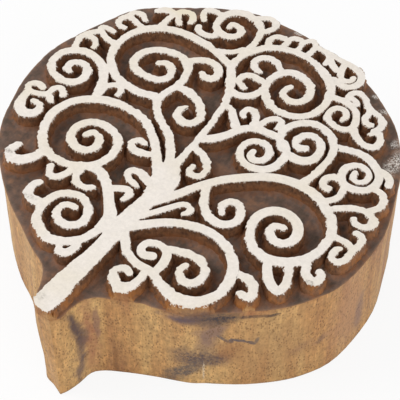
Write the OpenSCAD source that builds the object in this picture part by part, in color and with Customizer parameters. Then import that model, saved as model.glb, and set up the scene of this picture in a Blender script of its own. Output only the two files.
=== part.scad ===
// Hand-carved wooden printing block with a tree of scrolls standing in relief.
// Units are millimetres, +Z is up, and the block rests on its flat back at z = 0.
// The tip of the leaf-shaped block points to -Y, and the tree grows from it to +Y.

/* [Block] */
// Width over the flanks
body_w = 105.4; // [90:0.2:120]
// Length from the tip to the crown
body_l = 113; // [96:0.2:128]
// Height of the back to the carved ground
ground_h = 31.6; // [24:0.2:40]
// Inward lean of the sawn wall, foot to ground
wall_draft = 0.4; // [0:0.1:0.8]

/* [Relief] */
// Height of the carved lines and their white coat above the ground
relief_h = 3; // [2:0.1:4]
// Extra width of every carved line
line_swell = 0; // [-0.2:0.05:0.1]
// Place of the tree across the block
tree_x = -0.6; // [-1:0.1:0.4]
// Place of the tree along the block
tree_y = 0.9; // [0:0.1:1.2]
// Bare rim left between the lines and the wall
rim_margin = 0.15; // [0.1:0.05:0.5]
// Narrowest cut or fin that the knife leaves
knife_w = 0.2; // [0.1:0.02:0.24]

/* [Hidden] */
top_ratio = 1 - 2 * wall_draft / body_w;
arc_steps = 3;
cap_sides = 12;

// Catmull-Rom value of list v at position s, where v[0] is at 0 and v[1] at 1
function knot(v, i) = v[max(0, min(len(v) - 1, i))];
function ease(v, s) =
  let (
    i = min(floor(s), len(v) - 2),
    t = s - i,
    a = knot(v, i - 1),
    b = knot(v, i),
    c = knot(v, i + 1),
    d = knot(v, i + 2)
  )
  b + 0.5 * t * ((c - a) + t * ((2 * a - 5 * b + 4 * c - d) + t * (3 * (b - c) + d - a)));
function run(v) = [for (i = [0:1:(len(v) - 1) * arc_steps]) ease(v, i / arc_steps)];

// Unit normal of the path p at point i
function side(p, i) =
  let (a = knot(p, i - 1), b = knot(p, i + 1), d = [a[1] - b[1], b[0] - a[0]])
  d / norm(d);
function edge(p, i, s) = [p[i][0], p[i][1]] + side(p, i) * (s * (p[i][2] + line_swell) / 2);

// One carved line: v lists its centre points as [x, y, width]
module line(v) {
  p = run(v);
  for (i = [0:len(p) - 2]) {
    polygon([edge(p, i, 1), edge(p, i + 1, 1), edge(p, i + 1, -1), edge(p, i, -1)]);
  }
  for (e = [p[0], p[len(p) - 1]]) {
    translate([e[0], e[1]]) circle(d = e[2] + line_swell, $fn = cap_sides);
  }
}

// Outline of the leaf at the ground, from the tip round by the right flank. Each point is [x, y, u, v],
// where the foot of the wall lies [u, v] away from its upper edge: the saw leaned round the tip and the lobe
leaf = [
  [2.4, -56.3, 0, 0.4], [3.9, -54.2, -0.5, 0.2], [4.1, -50.8, 0.2, 0.2], [5.2, -47, -0.3, 0.2],
  [7.6, -44.6, -0.4, 0.2], [10.8, -43.3, 0, 0.9], [13.6, -42, 0, 1], [16.2, -40.6, 0, 0.8],
  [19.4, -39.8, 0, 1.4], [23.2, -39, 0, 2.1], [26.8, -37.8, 0, 2.5], [29.6, -36, 0, 2.6],
  [32, -33.4, 0, 1.4], [37.6, -29, 0, 0.7], [43.6, -23.6, 0, 0.5], [47.7, -18.2, 0, 0], [51.3, -11.4, 0, 0],
  [52.7, -2.5, 0, 0], [52.5, 8, 0, 0], [49.7, 17.9, 0, 0], [45.4, 29.5, 0, 0], [38.9, 39, 0, 0],
  [32.8, 44.4, 0, 0], [24.5, 49.8, 0, 0], [13.1, 53.9, 0, 0], [1.3, 56.4, 0, 0], [-6.5, 56.7, 0, 0],
  [-14.3, 56.5, 0, 0], [-23.9, 52.9, 0, 0], [-31.2, 48.4, 0, 0], [-39.9, 42.3, 0, 0],
  [-44.4, 37.5, 0, 0], [-48.1, 28.5, 0, 0], [-51.1, 20, 0, 0], [-52.7, 11.5, 0, 0], [-51.6, 0.5, 0, 0],
  [-49.2, -7.5, 0, 0], [-46.8, -14, 0, 0], [-42, -21.5, 0, 0], [-35, -28.5, 0, 0], [-27.4, -34.4, 0, 0],
  [-20.4, -38.5, 0, 0.1], [-14.8, -41.9, -0.9, -1], [-9.2, -44.6, -2, -2.2], [-6.3, -48.5, -1.2, -1.3],
  [-5, -51.7, -0.2, -0.3], [-3.4, -54.4, 0.2, 0.4], [-1.4, -56.2, 0.6, 1.6]
];

// How far the block's sizes stretch the outline as it is listed
function span(v, i) = max([for (p = v) p[i]]) - min([for (p = v) p[i]]);
stretch = [body_w / span(leaf, 0), body_l / span(leaf, 1)];

trunk_lines = [
  [[0.4, -55.7, 5.6], [0.6, -53, 6.1], [0.7, -48, 5.8], [0.9, -44, 5.4], [1.3, -39, 4.6], [1.4, -34, 4.4],
   [1.4, -29, 5], [1.6, -24, 5], [2, -19, 4.4], [2.3, -15, 5.8], [1.8, -11, 7.2], [0.6, -7.5, 6.4],
   [0.2, -5.5, 4.5]],
  [[0.9, -5, 2.6], [0.9, 0, 2], [0.7, 6, 2], [0.3, 12, 1.9], [-0.3, 17, 1.9], [-1.2, 21, 2],
   [-2.8, 25, 2.6],
   [-5, 28.8, 2.6], [-6.9, 32, 2.4], [-6.8, 35.5, 2.2], [-5.9, 38.5, 2.4], [-4, 41.5, 2.4]]
];

left_lines = [
  [[-0.9, -9.6, 3], [-3.5, -6.4, 2.6], [-6.1, -3.3, 2.5], [-9.6, 0.1, 2.5], [-14, 2.9, 2.6], [-20, 4, 2.6],
   [-25, 3.5, 2.8], [-29, 1.8, 2.8], [-32.5, -1, 2.6], [-34.3, -4.5, 2.6], [-34.8, -8.5, 2.6],
   [-33.7, -13, 2.5],
   [-31, -17, 2.6], [-27.5, -19.2, 2.6], [-23, -19.8, 2.4], [-18.5, -18.6, 2.4], [-15, -15.5, 2.5],
   [-13.9, -11, 2.5], [-15, -7, 2.5], [-18, -4.6, 2.5], [-21.5, -4.1, 2.5], [-25, -5.2, 2.5],
   [-26.9, -8.5, 2.5], [-26, -12, 2.5], [-23, -13.9, 2.4], [-20, -13.4, 2.4], [-18.8, -10.8, 2.4],
   [-20, -8.2, 2.2], [-22.3, -7.7, 2.2], [-23.3, -9.2, 2]],
  [[-0.5, -5.4, 2.4], [-3, -1.4, 2.5], [-6, 2, 2.4], [-10, 4.9, 2.3], [-13.2, 7.2, 2.2], [-15.6, 10.5, 2.4],
   [-15.2, 14.5, 2.4], [-14.3, 18, 2.4], [-14.8, 22.5, 2.4], [-17.2, 26.2, 2.4], [-21.5, 27.2, 2.4],
   [-26, 26, 2.4], [-29, 22.8, 2.4], [-29.2, 19, 2.4], [-27, 16.6, 2.4], [-23.3, 16.1, 2.4],
   [-19.6, 16.8, 2.4], [-18, 19.3, 2.4], [-19.2, 22, 2.2], [-21.5, 22.9, 2.2], [-23.2, 21.8, 2]],
  [[-7, 31.5, 2.2], [-9.5, 32.6, 2.4], [-13.5, 34, 2.4], [-18.5, 34.8, 2.6], [-24, 35, 2.6],
   [-29, 33.8, 2.6], [-33, 31.2, 2.8], [-35.7, 27.3, 2.4], [-36.6, 22.5, 2.4], [-35.6, 17.6, 2.4],
   [-33.2, 14.4, 2.4], [-30, 11.8, 2.4], [-26, 10.6, 2.4], [-21, 10.2, 2.6], [-16.5, 11.5, 2.6]],
  [[-29.7, 3.5, 2.6], [-30.7, 7, 2.6], [-32.8, 10.6, 2.6], [-35.4, 12.9, 2.6], [-39.5, 14.5, 2.6],
   [-43.8, 13.6, 2.6], [-46.7, 10.5, 2.5], [-46.7, 6.5, 2.5], [-44.3, 3.6, 2.5], [-40, 2.6, 2.5],
   [-36.9, 4, 2.6], [-36, 7, 2.5], [-37.5, 9.6, 2.3], [-39.8, 10.5, 2.2], [-42, 9.2, 2.2], [-42, 7, 2.2],
   [-40.8, 6.1, 1.8]],
  [[-18.5, -18.3, 2.4], [-14.5, -16.9, 2.8], [-11, -18, 2.6], [-7.8, -20.7, 2.6], [-5, -24, 2.6],
   [-2.4, -27, 3.4], [-2.1, -30, 3.2], [-2.6, -33.2, 2.4], [-4, -36.5, 2.5], [-7, -39.2, 2.6],
   [-11, -40.3, 3], [-15, -38.6, 2.8], [-17.4, -35.5, 2.4], [-17.9, -31.5, 2.4], [-16.4, -28, 2.4],
   [-12.8, -26.1, 2.3], [-9.2, -27, 2.4], [-7, -30, 2.5], [-7.2, -33.2, 2.5], [-10, -35.1, 2.4],
   [-13, -34.2, 2.2], [-14.1, -31.6, 2.1], [-13, -29.8, 2.1], [-11, -29.5, 2]],
  [[-14.3, 17.5, 2.4], [-11, 17.5, 2.5], [-7.5, 16.5, 2.5], [-4.6, 14.3, 2.4], [-3, 11.3, 2.4],
   [-3.8, 8.8, 2.4], [-6, 8, 2.6], [-8.3, 9, 2.4], [-9, 11, 2.2], [-8.2, 12.8, 1.2]],
  [[-17, 27, 2.2], [-14.8, 29, 2.4], [-12, 29.8, 2.4], [-9.3, 29.2, 2.4], [-7.9, 26.8, 2.4],
   [-8.6, 24.7, 2.6], [-10.5, 24.4, 2.4], [-11.7, 25.3, 1.8]],
  [[-5, -5, 1.6], [-8, -6.4, 2.4], [-10.8, -6.6, 2.4], [-12.2, -4.9, 2.1], [-11.3, -3.3, 2],
   [-9.5, -3.4, 1.9]],
  [[-1, -13.2, 2.6], [-4, -12, 2.4], [-6.5, -12.1, 2.2], [-7.1, -13.8, 2], [-5.5, -15.1, 2],
   [-3, -15.8, 1.5]],
  [[-7.6, -20, 2], [-5.3, -18.5, 2], [-3.5, -18, 2], [-2.7, -19.2, 2], [-3.1, -20.8, 1.8]]
];

right_lines = [
  [[3.2, -18, 2.4], [5.4, -14.6, 2.7], [7.5, -11, 2.5], [9.7, -7, 2.4], [12.3, -3.5, 2.5], [15.8, 0, 2.5],
   [19.3, 2.9, 2.5], [22.8, 5.1, 2.5], [26.3, 6.3, 2.6], [30, 6.8, 2.6], [35, 6, 2.7], [39.5, 3.4, 2.6],
   [42.8, 0, 2.5],
   [44, -4, 2.4], [43.8, -8, 2.4], [42.2, -12.2, 2.9], [38.2, -15.6, 2.9], [33.5, -16.6, 2.7],
   [29.5, -14.7, 2.6],
   [26.9, -11, 2.5], [26.5, -7, 2.5], [28.5, -3.7, 2.5], [32, -2.6, 2.5], [35.6, -4, 2.5],
   [37.3, -7.3, 2.6],
   [36.4, -10.2, 2.5], [33.8, -11.2, 2.5], [31.4, -9.6, 2.4], [31.3, -7.4, 2.2], [33.3, -6.6, 2]],
  [[11, -5.5, 2.4], [12.2, -8.5, 2.3], [14.3, -11.8, 2.3], [17.5, -14, 2.5], [20.8, -14, 2.5],
   [23, -11.8, 2.4], [22.8, -8.8, 2.3], [20.8, -6.8, 2.2], [18.4, -7.2, 2.2], [17.6, -9.2, 2],
   [19, -11.2, 1.7]],
  [[3.6, -22.8, 1.9], [5.8, -19.6, 1.9], [7.9, -16.5, 1.9], [9.8, -14.1, 1.9], [11.7, -14, 1.8],
   [12.2, -15.4, 1.8],
   [11.7, -16.3, 1.6]],
  [[2.4, -27.6, 3], [6, -24.2, 2.8], [9.2, -21.3, 2.6], [13, -19.1, 2.5], [17.5, -17.8, 2.6],
   [22, -17.8, 2.6],
   [26.5, -19.6, 2.6], [30, -23, 2.6], [31.6, -27.5, 2.6], [31.2, -32, 2.7], [28.6, -35.8, 3],
   [24, -37.6, 3.3], [19.5, -36.6, 2.8], [15.5, -34.9, 2.4], [11, -34.8, 2.2], [7.5, -33.4, 2.2],
   [4.5, -30.5, 2.6], [2.5, -28.5, 3]],
  [[16, -34, 2], [16.1, -31, 2.3], [15, -28.2, 2.2], [12.3, -27.2, 2], [9.8, -28.3, 2], [9.3, -30.5, 2],
   [10.8, -31.8, 2.2], [12.8, -31, 2.3]],
  [[14.5, -27.2, 2], [18, -26, 2.4], [21.5, -25.6, 2.5], [24.8, -27, 2.4], [25.8, -29.8, 2.4],
   [24.8, -32.2, 2.4], [22.5, -32.8, 2.4], [20.5, -31.2, 2.1], [20.6, -29, 1.9]],
  [[13.9, -35, 2], [14.3, -38, 2.2], [13.6, -41, 2.8], [11.3, -42.2, 3.2], [9, -41, 2.6], [8.2, -38.8, 2],
   [9.6, -37.3, 2], [11.3, -37.9, 1.8]],
  [[0.8, 5.5, 2.4], [3.5, 7.5, 2.8], [5.8, 10.5, 2.6], [7.2, 13.5, 2.6], [9.5, 15.9, 2.4], [13, 17, 2.4],
   [17.3, 16.9, 2.4], [20.5, 15, 2.4], [21.7, 11.8, 2.4], [21.5, 8.6, 2.4], [19.6, 6, 2.2],
   [16.3, 4.9, 2.2],
   [13, 5.9, 2.2], [11.2, 8.7, 2.1], [11.6, 11.6, 2.1], [13.7, 13.3, 2.1], [16.2, 13.1, 2.2],
   [18, 11.2, 2.2],
   [17.9, 8.8, 2.2], [16.2, 7.3, 2.1], [14.5, 8, 2], [14.3, 9.6, 1.6]],
  [[29.6, 7, 2.4], [30.6, 11, 2.2], [31, 15, 2.1], [31, 19, 2.1], [29.5, 23, 2.2], [26.3, 25.6, 2.3],
   [22, 26.2, 2.3], [18.7, 24.2, 2.3], [16.9, 21, 2.3], [17.1, 18, 2.3], [18.9, 15.1, 2.3],
   [22.2, 13.6, 2.5],
   [25.5, 13.6, 2.6], [27.8, 15.6, 2.4], [28, 18.7, 2.3], [26.6, 21.3, 2.3], [24, 22.4, 2.3],
   [21.8, 21.3, 2.2],
   [21.2, 19.2, 2.2], [21.8, 17.6, 2.2], [23.2, 17.2, 2.5], [24.5, 17.8, 2.2]],
  [[1.2, 2.6, 2.2], [4, 1.9, 2.2], [6.6, 0.2, 2.2], [8.2, -2.4, 2.1], [7.9, -4.6, 2.1], [6.2, -5.4, 2],
   [4.8, -4.4, 1.9], [4.8, -2.8, 1.7]],
  [[-0.5, 18.8, 2], [1.8, 18.6, 2], [4, 16.4, 2.2], [6.2, 14, 2.6]]
];

crown_lines = [
  [[-5, 40.3, 2.4], [-3.4, 42.3, 2.4], [-0.5, 44.3, 2.4], [4, 45.7, 2.2], [8.5, 45.5, 2.2], [13, 43.9, 2.4],
   [17.3, 41.2, 2.8], [19.9, 37.3, 2.6], [20.6, 33, 2.2], [19.8, 29, 2.2], [17.2, 26, 2.2],
   [13.5, 24.8, 2.3],
   [10, 25.2, 2.3], [6.8, 27.1, 2.3], [4.8, 30, 2.2], [4.3, 33.5, 2.1], [5.3, 36.8, 2.4], [8, 38.7, 2.6],
   [11.5, 38.5, 2.4], [14.3, 36.8, 2.3], [15.6, 33.5, 2.3], [14.9, 30.8, 2.3], [12.4, 29.4, 2.3],
   [10, 30.4, 2.2], [9.4, 32.3, 2.1], [10, 33.8, 2]],
  [[-2.2, 24, 2.6], [0.5, 23.8, 2.4], [3, 25.2, 2.4], [4.4, 28, 2.2], [4.3, 32, 2]],
  [[4.8, 37.6, 2], [2.8, 39.2, 2.2], [0.5, 39.8, 2.2], [-1.8, 38.9, 2.2], [-2.7, 36.8, 2.1],
   [-1.7, 34.8, 2.1],
   [0.1, 34.1, 2]],
  [[4.2, 31.5, 2], [2, 31.5, 2.2], [-0.4, 31.7, 2.2], [-2.4, 30.2, 2.1], [-2, 28.1, 2], [0.2, 26.9, 2]],
  [[-6.9, 36.5, 2.2], [-6.6, 40, 2], [-6.7, 44, 2], [-8, 47.8, 2.2], [-11, 50.2, 2.4], [-15, 50.7, 2.6],
   [-18.3, 48.8, 2.6], [-19.4, 45.5, 2.2], [-18.7, 42.3, 2.2], [-16.3, 40.6, 2.4], [-13.6, 40.7, 2.4],
   [-11.9, 42.4, 2.2], [-12, 44.4, 2.2], [-13.8, 45.5, 2.1], [-15.7, 45.1, 2], [-15.7, 43.7, 1.8]],
  [[-13.2, 34.4, 1.8], [-10.9, 35.4, 1.9], [-9.1, 36.7, 1.9], [-7.6, 38.8, 2]],
  [[9.5, 16.5, 2], [8.8, 19.3, 2], [7, 21.3, 2], [5.2, 20.9, 2], [4.9, 19.2, 1.9], [5.8, 18.3, 1.7]],
  [[10.7, 17.3, 2], [11.3, 20.3, 1.9], [13, 22.3, 2], [14.8, 21.8, 2], [15.1, 19.8, 2]],
  [[20.8, 37, 2.2], [24.5, 37.2, 2.2], [28, 36.1, 2.1], [30.1, 32.9, 2], [31, 30.3, 2.2], [33, 28.2, 2.2],
   [35.7, 27, 2], [38.2, 27.7, 2], [38.6, 30, 1.9], [37.6, 32, 2], [36, 32.2, 2], [35.2, 30.9, 1.6]],
  [[30.4, 30.5, 2], [29.3, 28.9, 2], [26.7, 28.4, 2], [23.8, 29.6, 2], [22.9, 32, 1.9], [23.8, 34.2, 2],
   [26, 34.5, 1.9], [27.2, 33, 1.9], [27, 31.6, 1.8]]
];

rim_lines = [
  [[-17, 40, 2], [-17.2, 38.4, 2], [-19.5, 37.6, 1.9], [-21.8, 38.1, 1.9], [-22.5, 39.3, 1.8]],
  [[-19.4, 46.6, 2], [-22.5, 46.9, 2.1], [-24.5, 45.8, 2], [-24.2, 44, 2], [-22.9, 42.4, 2]],
  [[-30.9, 39, 2], [-29.7, 41.6, 2.2], [-27.4, 42.4, 2.2], [-25.5, 41, 2.2], [-25.3, 39.4, 2]],
  [[-30, 40.3, 1.9], [-28.6, 38.6, 1.9], [-27.4, 37.3, 1.8]],
  [[-31, 33.5, 2.4], [-31, 37, 2], [-31.2, 39.8, 2.2], [-33.7, 39.7, 2.6], [-35.3, 38.1, 2]],
  [[-34.8, 30.2, 2], [-37.5, 31.2, 2], [-40.3, 32.2, 2.2], [-40, 34.2, 2], [-37.8, 34.5, 2],
   [-35.9, 33.3, 1.9]],
  [[-40.6, 32.3, 2.2], [-41.7, 29.8, 2.1], [-40.8, 27.9, 2.1], [-38.9, 27.6, 2]],
  [[-36.8, 21, 2], [-40, 21.6, 2], [-43, 23, 2], [-44, 24.4, 1.9], [-42.3, 25, 1.9], [-40.3, 24.8, 1.9]],
  [[-43.2, 23.2, 2], [-45.4, 20.5, 2.1], [-46.3, 17.6, 2.1], [-45.3, 14.6, 2]],
  [[-45.3, 19.6, 2], [-43, 19.6, 2], [-41.5, 18.3, 1.9], [-41, 17, 1.8]],
  [[-42.6, -2.5, 2], [-44.7, -2, 2], [-46.2, -3.3, 2], [-45, -5.2, 2], [-42.4, -4.9, 2], [-40.3, -3.5, 2],
   [-40, -1, 2], [-38.8, 0, 2], [-37.5, -0.4, 2], [-36.6, -1.6, 1.9]],
  [[-40.2, -3.6, 2.2], [-38.9, -4.3, 2.2], [-37.8, -5, 1.9]],
  [[-45, -5.2, 2], [-44.7, -8, 2.4], [-43.6, -10.8, 3], [-41.3, -12, 3.2], [-39.2, -11.2, 2.9],
   [-38.5, -9.2, 2.4], [-39.9, -7.5, 2.1], [-41.7, -7.6, 1.9]],
  [[-28.7, -19.5, 2.6], [-29.3, -22.3, 3], [-31.5, -25, 3.2], [-34, -25.6, 3.2], [-35.7, -23.8, 2.6],
   [-35.2, -21.4, 2.1]],
  [[-19, -19.5, 2.2], [-19.4, -22.3, 2.2], [-20.8, -24.5, 2.2], [-22.6, -24.6, 2.1], [-23.9, -23, 1.9],
   [-24, -22.2, 1.7]],
  [[-17.3, -19, 2], [-17, -21.5, 2], [-15.5, -23.1, 2], [-13, -23.2, 2], [-11.5, -22.3, 1.9]],
  [[-18.3, -33, 2.8], [-21.5, -33.1, 2.8], [-23.6, -31.5, 2.5], [-23.8, -29.3, 2.2], [-23.1, -28.3, 2.1]],
  [[-4.2, -37, 2.2], [-3.6, -39.3, 2.3], [-4.3, -41.4, 2.5], [-6, -41.8, 2.2], [-6.9, -40.7, 1.9]],
  [[-29.3, 4.5, 2], [-29.4, 7, 2], [-27.7, 8.9, 2], [-25.7, 8.6, 2], [-25.1, 6.5, 1.9]],
  [[-11, 51.2, 2], [-8.5, 52.8, 2], [-6.2, 52.3, 2], [-5.3, 50.5, 2], [-6.5, 47.8, 2]],
  [[-3, 43.3, 1.9], [-3.9, 46, 1.9], [-3, 48, 1.9], [-0.8, 48.4, 1.9], [0.5, 47.5, 1.8], [0.3, 45, 1.8]],
  [[0.2, 48.3, 1.8], [1.2, 50.1, 1.9], [3.2, 50.2, 1.9], [4.2, 48.5, 1.7], [4.2, 46, 1.7]],
  [[4, 49.6, 1.8], [5, 51.4, 1.9], [6.8, 51.5, 1.9], [7.8, 49.8, 1.9], [7.6, 46.5, 1.9]],
  [[8, 50.6, 1.9], [11, 50.3, 1.9], [12.9, 48.7, 1.9], [13, 46.2, 1.4]],
  [[12, 50.2, 1.8], [16, 49.7, 1.8], [20, 49.3, 1.9], [22.8, 48, 2], [24, 45.4, 2], [23.1, 42.8, 2],
   [20.6, 41.8, 2.1], [17.9, 42.7, 2]],
  [[12.9, 48.7, 1.9], [14.6, 47.1, 2], [16.6, 45.9, 1.9]],
  [[17.4, 49.2, 1.8], [17.8, 46.4, 1.8], [18.8, 44.5, 1.8], [20.5, 43.8, 1.8], [21.8, 44.7, 1.7],
   [21.8, 46, 1.6]],
  [[24.5, 37.6, 2], [24.2, 40.5, 2], [25.8, 42, 2], [28, 41.3, 2], [30, 39.2, 2], [31.4, 37.2, 2],
   [31.4, 35.2, 2], [32.6, 33.7, 2], [33.9, 33.8, 1.8]],
  [[24.9, 39.3, 1.8], [26.3, 39, 1.8], [27.4, 38.2, 1.8]],
  [[30.3, 38.6, 2], [33.4, 37.9, 2], [35.6, 36.6, 2], [36.3, 34.5, 2], [35.6, 32.4, 2]],
  [[36.8, 14, 2.2], [34.8, 13.6, 2.2], [33.6, 11.9, 2.2], [34.3, 9.9, 2.2], [35.8, 9.6, 2]],
  [[37.3, 6, 2], [38.9, 8, 2], [39.2, 11, 2], [38.8, 13, 2]],
  [[30.5, 22.3, 2.2], [34, 23.6, 2.3], [37.5, 23.9, 2.4], [41, 22.7, 2.2], [43.9, 20.3, 2.1],
   [44.7, 17.3, 2.1],
   [43.7, 14.6, 2.2], [41, 13.1, 2.3], [38, 13.3, 2.2], [36.2, 15.5, 2.2], [36.1, 18.2, 2.2],
   [37.9, 20.3, 2],
   [40.3, 20.2, 1.9], [42, 18.7, 1.8], [42, 16.7, 1.8], [40.5, 15.5, 1.7], [38.9, 16.1, 1.8],
   [38.6, 17.8, 1.8]],
  [[42.5, 21.5, 2], [45, 21.5, 2], [46.8, 20.3, 2], [47.3, 18.8, 2]],
  [[45.2, 15.7, 2], [47.5, 15.3, 2.1], [49, 13.5, 2.1], [48.7, 11, 2.1], [47.2, 8.8, 2]],
  [[40.3, 5.2, 2.1], [43, 7.3, 2.1], [46, 8.4, 2], [49, 7.9, 2.2], [50.2, 5.8, 2.3], [49, 4.2, 2.1],
   [47, 4, 1.9], [45.6, 5, 1.6]],
  [[44.3, -2.3, 2], [47.5, -2.1, 2], [50, -3.3, 2], [50.2, -6.4, 2.1], [48.8, -8.4, 2.2], [47, -7.4, 2],
   [46.9, -5.3, 1.9], [47.6, -4.5, 1.5]],
  [[50.3, -3.3, 2], [50.7, -0.5, 2], [49.8, 1.3, 2], [48.4, 1.6, 2]],
  [[35.5, -16.8, 2.2], [37, -19.5, 2.3], [39.5, -22.2, 2.4], [42.2, -23, 2.4], [42.6, -20.2, 2.2],
   [41.5, -17.5, 2.2], [40, -15, 2.2]],
  [[43.3, -12.5, 2.2], [44.6, -15, 2.4], [46.5, -16.3, 2.8], [48, -15.4, 2.5], [47.9, -13.8, 2.2],
   [47, -13, 1.9]],
  [[30.8, -24.5, 2.2], [33.5, -23.9, 2.3], [36.3, -24.6, 2.4], [37.8, -26.8, 2.5], [37.3, -28.4, 2.5],
   [35.7, -28.3, 2.2]]
];

// Plan of the block at the carved ground
edge_ring = [for (p = run(leaf)) [p[0] * stretch[0], p[1] * stretch[1]]];
foot_ring = [for (p = run(leaf)) [(p[0] + p[2]) * stretch[0], (p[1] + p[3]) * stretch[1]] / top_ratio];
module outline() {
  polygon(edge_ring);
}

// Triangles of a flat face with n points round it, laced from flank to flank like a shoe
function lace(n, k) = k % 2 == 0 ? k / 2 : n - (k + 1) / 2;
function cap(n) = [for (k = [0:n - 3]) [lace(n, k + k % 2), lace(n, k + 1 - k % 2), lace(n, k + 2)]];

// A plan without the slivers and slits that a knife of width 2 * d can't leave
module neat(d) {
  offset(delta = -d)
  offset(delta = 2 * d)
  offset(delta = -d)
  children();
}

// Line v where the block's sizes put it, as wide as the knife leaves it on any block
function place(v) = [for (p = v) [(p[0] + tree_x) * stretch[0], (p[1] + tree_y) * stretch[1], p[2]]];

// Plan of a group of lines, cut off flush with the wall
module plan(group) {
  intersection() {
    for (v = group) {
      line(place(v));
    }
    offset(delta = -rim_margin) outline();
  }
}

// One group of lines standing on the ground, less the groups that it grows from
module motif(group, stems) {
  color([0.33, 0.2, 0.12])
  translate([0, 0, ground_h])
  linear_extrude(height = relief_h)
  neat(knife_w / 2)
  difference() {
    plan(group);
    plan(stems);
  }
}

// Body with the flat back, the sawn wall and the carved ground
module block() {
  n = len(edge_ring);
  color([0.65, 0.45, 0.26])
  polyhedron(
    points = concat(
      [for (p = foot_ring) [p[0], p[1], 0]],
      [for (p = edge_ring) [p[0], p[1], ground_h]]
    ),
    faces = concat(
      [for (t = cap(n)) [t[0], t[2], t[1]]],
      [for (t = cap(n)) t + [n, n, n]],
      [for (i = [0:n - 1]) [i, n + i, (i + 1) % n]],
      [for (i = [0:n - 1]) [(i + 1) % n, n + i, n + (i + 1) % n]]
    )
  );
}

// Trunk, crown fork and the stem that climbs from it
module trunk() {
  color([0.33, 0.2, 0.12])
  translate([0, 0, ground_h])
  linear_extrude(height = relief_h)
  neat(knife_w / 2)
  plan(trunk_lines);
}

// Scrolls on the left of the trunk
module left_scrolls() {
  motif(left_lines, trunk_lines);
}

// Scrolls on the right of the trunk
module right_scrolls() {
  motif(right_lines, concat(trunk_lines, left_lines));
}

// Scrolls at the head of the tree
module crown_scrolls() {
  motif(crown_lines, concat(trunk_lines, left_lines, right_lines));
}

// Small hooks, beads and loops between the scrolls and the wall
module rim_tendrils() {
  motif(rim_lines, concat(trunk_lines, left_lines, right_lines, crown_lines));
}

block();
trunk();
left_scrolls();
right_scrolls();
crown_scrolls();
rim_tendrils();
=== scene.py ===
import math

import bpy
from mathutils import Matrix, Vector, noise
from mathutils.bvhtree import BVHTree


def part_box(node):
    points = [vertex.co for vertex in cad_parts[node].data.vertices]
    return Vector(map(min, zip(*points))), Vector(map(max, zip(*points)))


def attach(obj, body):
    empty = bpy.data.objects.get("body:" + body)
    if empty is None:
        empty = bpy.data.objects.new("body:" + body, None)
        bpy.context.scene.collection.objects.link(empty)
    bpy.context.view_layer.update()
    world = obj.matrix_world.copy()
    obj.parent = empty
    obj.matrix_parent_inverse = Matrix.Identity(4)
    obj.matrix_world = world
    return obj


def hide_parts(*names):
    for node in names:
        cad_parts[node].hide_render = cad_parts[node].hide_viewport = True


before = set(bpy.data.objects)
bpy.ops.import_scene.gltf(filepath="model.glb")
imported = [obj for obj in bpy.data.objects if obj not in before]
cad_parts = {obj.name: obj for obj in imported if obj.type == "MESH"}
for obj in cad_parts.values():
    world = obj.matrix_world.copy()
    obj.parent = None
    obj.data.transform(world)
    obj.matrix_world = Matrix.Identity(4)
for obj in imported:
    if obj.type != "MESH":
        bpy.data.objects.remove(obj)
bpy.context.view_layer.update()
mm = 0.001

# heights of the stamp, read from the frame
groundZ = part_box("block")[1].z
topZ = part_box("trunk")[1].z
reliefNodes = {
    "trunk": "trunkRidge",
    "left_scrolls": "leftScrollRidges",
    "right_scrolls": "rightScrollRidges",
    "crown_scrolls": "crownScrollRidges",
    "rim_tendrils": "rimTendrilRidges",
}


def smooth(low, high, value):
    t = min(max((value - low) / (high - low), 0.0), 1.0)
    return t * t * (3 - 2 * t)


def activate(piece):
    if bpy.context.object and bpy.context.object.mode != "OBJECT":
        bpy.ops.object.mode_set(mode="OBJECT")
    bpy.ops.object.select_all(action="DESELECT")
    piece.select_set(True)
    bpy.context.view_layer.objects.active = piece


# selects the vertices, edges or polygons that pass the test, and opens edit mode on them
def editSelected(piece, kind, test):
    activate(piece)
    mesh = piece.data
    for group in (mesh.vertices, mesh.edges, mesh.polygons):
        group.foreach_set("select", [False] * len(group))
    for item in getattr(mesh, kind):
        if test(item):
            item.select = True
    bpy.context.tool_settings.mesh_select_mode = (kind == "vertices", kind == "edges", kind == "polygons")
    bpy.ops.object.mode_set(mode="EDIT")


def leaveEdit():
    bpy.ops.object.mode_set(mode="OBJECT")


def addModifier(piece, kind, **settings):
    modifier = piece.modifiers.new(kind.lower(), kind)
    for name, value in settings.items():
        setattr(modifier, name, value)
    return modifier


def applyModifiers(piece):
    activate(piece)
    for modifier in list(piece.modifiers):
        bpy.ops.object.modifier_apply(modifier=modifier.name)


# a merged copy of a CAD node with its flat faces made whole again, to carve on
def carvingBlank(node, name):
    piece = bpy.data.objects.new(name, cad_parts[node].data.copy())
    bpy.context.scene.collection.objects.link(piece)
    piece.data.materials.clear()
    activate(piece)
    bpy.ops.mesh.customdata_custom_splitnormals_clear()
    bpy.ops.object.mode_set(mode="EDIT")
    bpy.ops.mesh.select_all(action="SELECT")
    bpy.ops.mesh.remove_doubles(threshold=0.002 * mm)
    bpy.ops.mesh.dissolve_limited(angle_limit=math.radians(0.2))
    leaveEdit()
    return piece


# draws cuts through all faces, square to an axis
def cutAcross(piece, axis, places):
    for place in places:
        editSelected(piece, "polygons", lambda face: True)
        bpy.ops.mesh.bisect(plane_co=Vector(axis) * place, plane_no=axis)
        leaveEdit()


# the upright faces of some meshes, to measure distances to
def sideTree(meshes):
    points, faces = [], []
    for mesh in meshes:
        start = len(points)
        points += [v.co.copy() for v in mesh.vertices]
        faces += [[start + i for i in f.vertices] for f in mesh.polygons if abs(f.normal.z) < 0.5]
    return BVHTree.FromPolygons(points, faces)


def storeNumber(mesh, name, values):
    attribute = mesh.attributes.new(name, "FLOAT", "POINT")
    attribute.data.foreach_set("value", values)


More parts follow.
